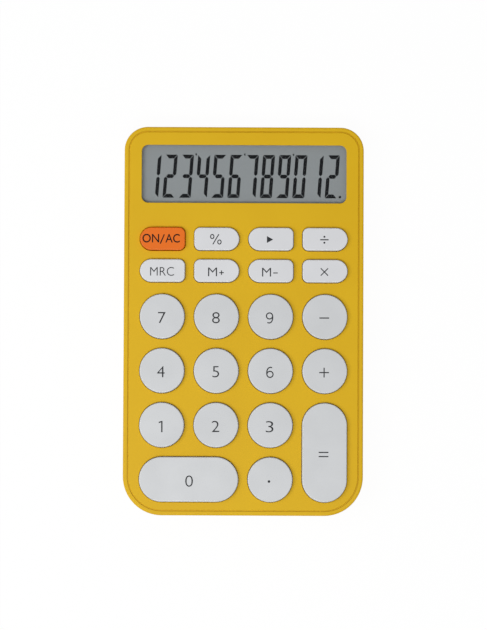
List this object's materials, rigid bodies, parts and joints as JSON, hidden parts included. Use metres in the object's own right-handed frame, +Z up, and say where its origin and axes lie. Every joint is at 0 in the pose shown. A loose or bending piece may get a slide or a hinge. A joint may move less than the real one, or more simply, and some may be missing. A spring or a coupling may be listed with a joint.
{
  "type": "desk calculator",
  "caption": "Flat desk calculator with a yellow moulded case, round white keys, an orange clear key and a grey liquid crystal display.",
  "frame": {"origin": "middle of the footprint, on the surface that the rubber feet stand on", "axes": "+Z up out of the face, +Y towards the display, +X to the right of the face"},
  "size_m": [0.0926, 0.15, 0.0154],
  "materials": {
    "case_plastic": "matte",
    "key_plastic": "matte",
    "clear_key_plastic": "matte",
    "silicone": "matte",
    "carbon": "matte",
    "board": "satin",
    "epoxy": "satin",
    "window_acrylic": "gloss",
    "foam": "matte",
    "polariser": "satin",
    "display_glass": "gloss",
    "reflector": "satin",
    "holder_plastic": "matte",
    "cell_steel": "satin",
    "contact_metal": "satin",
    "screw_steel": "satin",
    "foot_rubber": "matte"
  },
  "bodies": {
    "case": {"rear_case": "case_plastic", "front_panel": "case_plastic", "keypad_sheet": "silicone", "key_contacts": "carbon", "circuit_board": "board", "controller_chip": "epoxy", "filter_capacitor": "epoxy", "chip_resistors": "epoxy", "display_window": "window_acrylic", "window_tape": "foam", "display_gasket": "foam", "display_polariser": "polariser", "display_front_glass": "display_glass", "display_rear_glass": "display_glass", "display_reflector": "reflector", "display_holder": "holder_plastic", "zebra_connector": "silicone", "coin_cell": "cell_steel", "battery_contact_positive": "contact_metal", "battery_contact_negative": "contact_metal", "case_screws": "screw_steel", "board_screws": "screw_steel", "rubber_feet": "foot_rubber"},
    "key_on_clear": {"key_on_clear": "clear_key_plastic"},
    "key_percent": {"key_percent": "key_plastic"},
    "key_backspace": {"key_backspace": "key_plastic"},
    "key_divide": {"key_divide": "key_plastic"},
    "key_memory_recall": {"key_memory_recall": "key_plastic"},
    "key_memory_plus": {"key_memory_plus": "key_plastic"},
    "key_memory_minus": {"key_memory_minus": "key_plastic"},
    "key_multiply": {"key_multiply": "key_plastic"},
    "key_seven": {"key_seven": "key_plastic"},
    "key_eight": {"key_eight": "key_plastic"},
    "key_nine": {"key_nine": "key_plastic"},
    "key_minus": {"key_minus": "key_plastic"},
    "key_four": {"key_four": "key_plastic"},
    "key_five": {"key_five": "key_plastic"},
    "key_six": {"key_six": "key_plastic"},
    "key_plus": {"key_plus": "key_plastic"},
    "key_one": {"key_one": "key_plastic"},
    "key_two": {"key_two": "key_plastic"},
    "key_three": {"key_three": "key_plastic"},
    "key_zero": {"key_zero": "key_plastic"},
    "key_point": {"key_point": "key_plastic"},
    "key_equals": {"key_equals": "key_plastic"},
    "battery_cover": {"battery_cover": "case_plastic"}
  },
  "joints": [
    {"name": "press_on_clear", "type": "slide", "parent": "case", "child": "key_on_clear", "axis": [0, 0, -1], "range_m": [0, 0.0013], "stiffness_N_per_m": 450, "springref_m": -0.0006, "deforming": ["keypad_sheet"]},
    {"name": "press_percent", "type": "slide", "parent": "case", "child": "key_percent", "axis": [0, 0, -1], "range_m": [0, 0.0013], "stiffness_N_per_m": 450, "springref_m": -0.0006, "deforming": ["keypad_sheet"]},
    {"name": "press_backspace", "type": "slide", "parent": "case", "child": "key_backspace", "axis": [0, 0, -1], "range_m": [0, 0.0013], "stiffness_N_per_m": 450, "springref_m": -0.0006, "deforming": ["keypad_sheet"]},
    {"name": "press_divide", "type": "slide", "parent": "case", "child": "key_divide", "axis": [0, 0, -1], "range_m": [0, 0.0013], "stiffness_N_per_m": 450, "springref_m": -0.0006, "deforming": ["keypad_sheet"]},
    {"name": "press_memory_recall", "type": "slide", "parent": "case", "child": "key_memory_recall", "axis": [0, 0, -1], "range_m": [0, 0.0013], "stiffness_N_per_m": 450, "springref_m": -0.0006, "deforming": ["keypad_sheet"]},
    {"name": "press_memory_plus", "type": "slide", "parent": "case", "child": "key_memory_plus", "axis": [0, 0, -1], "range_m": [0, 0.0013], "stiffness_N_per_m": 450, "springref_m": -0.0006, "deforming": ["keypad_sheet"]},
    {"name": "press_memory_minus", "type": "slide", "parent": "case", "child": "key_memory_minus", "axis": [0, 0, -1], "range_m": [0, 0.0013], "stiffness_N_per_m": 450, "springref_m": -0.0006, "deforming": ["keypad_sheet"]},
    {"name": "press_multiply", "type": "slide", "parent": "case", "child": "key_multiply", "axis": [0, 0, -1], "range_m": [0, 0.0013], "stiffness_N_per_m": 450, "springref_m": -0.0006, "deforming": ["keypad_sheet"]},
    {"name": "press_seven", "type": "slide", "parent": "case", "child": "key_seven", "axis": [0, 0, -1], "range_m": [0, 0.0013], "stiffness_N_per_m": 450, "springref_m": -0.0006, "deforming": ["keypad_sheet"]},
    {"name": "press_eight", "type": "slide", "parent": "case", "child": "key_eight", "axis": [0, 0, -1], "range_m": [0, 0.0013], "stiffness_N_per_m": 450, "springref_m": -0.0006, "deforming": ["keypad_sheet"]},
    {"name": "press_nine", "type": "slide", "parent": "case", "child": "key_nine", "axis": [0, 0, -1], "range_m": [0, 0.0013], "stiffness_N_per_m": 450, "springref_m": -0.0006, "deforming": ["keypad_sheet"]},
    {"name": "press_minus", "type": "slide", "parent": "case", "child": "key_minus", "axis": [0, 0, -1], "range_m": [0, 0.0013], "stiffness_N_per_m": 450, "springref_m": -0.0006, "deforming": ["keypad_sheet"]},
    {"name": "press_four", "type": "slide", "parent": "case", "child": "key_four", "axis": [0, 0, -1], "range_m": [0, 0.0013], "stiffness_N_per_m": 450, "springref_m": -0.0006, "deforming": ["keypad_sheet"]},
    {"name": "press_five", "type": "slide", "parent": "case", "child": "key_five", "axis": [0, 0, -1], "range_m": [0, 0.0013], "stiffness_N_per_m": 450, "springref_m": -0.0006, "deforming": ["keypad_sheet"]},
    {"name": "press_six", "type": "slide", "parent": "case", "child": "key_six", "axis": [0, 0, -1], "range_m": [0, 0.0013], "stiffness_N_per_m": 450, "springref_m": -0.0006, "deforming": ["keypad_sheet"]},
    {"name": "press_plus", "type": "slide", "parent": "case", "child": "key_plus", "axis": [0, 0, -1], "range_m": [0, 0.0013], "stiffness_N_per_m": 450, "springref_m": -0.0006, "deforming": ["keypad_sheet"]},
    {"name": "press_one", "type": "slide", "parent": "case", "child": "key_one", "axis": [0, 0, -1], "range_m": [0, 0.0013], "stiffness_N_per_m": 450, "springref_m": -0.0006, "deforming": ["keypad_sheet"]},
    {"name": "press_two", "type": "slide", "parent": "case", "child": "key_two", "axis": [0, 0, -1], "range_m": [0, 0.0013], "stiffness_N_per_m": 450, "springref_m": -0.0006, "deforming": ["keypad_sheet"]},
    {"name": "press_three", "type": "slide", "parent": "case", "child": "key_three", "axis": [0, 0, -1], "range_m": [0, 0.0013], "stiffness_N_per_m": 450, "springref_m": -0.0006, "deforming": ["keypad_sheet"]},
    {"name": "press_zero", "type": "slide", "parent": "case", "child": "key_zero", "axis": [0, 0, -1], "range_m": [0, 0.0013], "stiffness_N_per_m": 450, "springref_m": -0.0006, "deforming": ["keypad_sheet"]},
    {"name": "press_point", "type": "slide", "parent": "case", "child": "key_point", "axis": [0, 0, -1], "range_m": [0, 0.0013], "stiffness_N_per_m": 450, "springref_m": -0.0006, "deforming": ["keypad_sheet"]},
    {"name": "press_equals", "type": "slide", "parent": "case", "child": "key_equals", "axis": [0, 0, -1], "range_m": [0, 0.0013], "stiffness_N_per_m": 450, "springref_m": -0.0006, "deforming": ["keypad_sheet"]},
    {"name": "cover_turn", "type": "hinge", "parent": "case", "child": "battery_cover", "pos_m": [0, 0.0568, 0.0008], "axis": [0, 0, -1], "range_deg": [0, 90]}
  ]
}
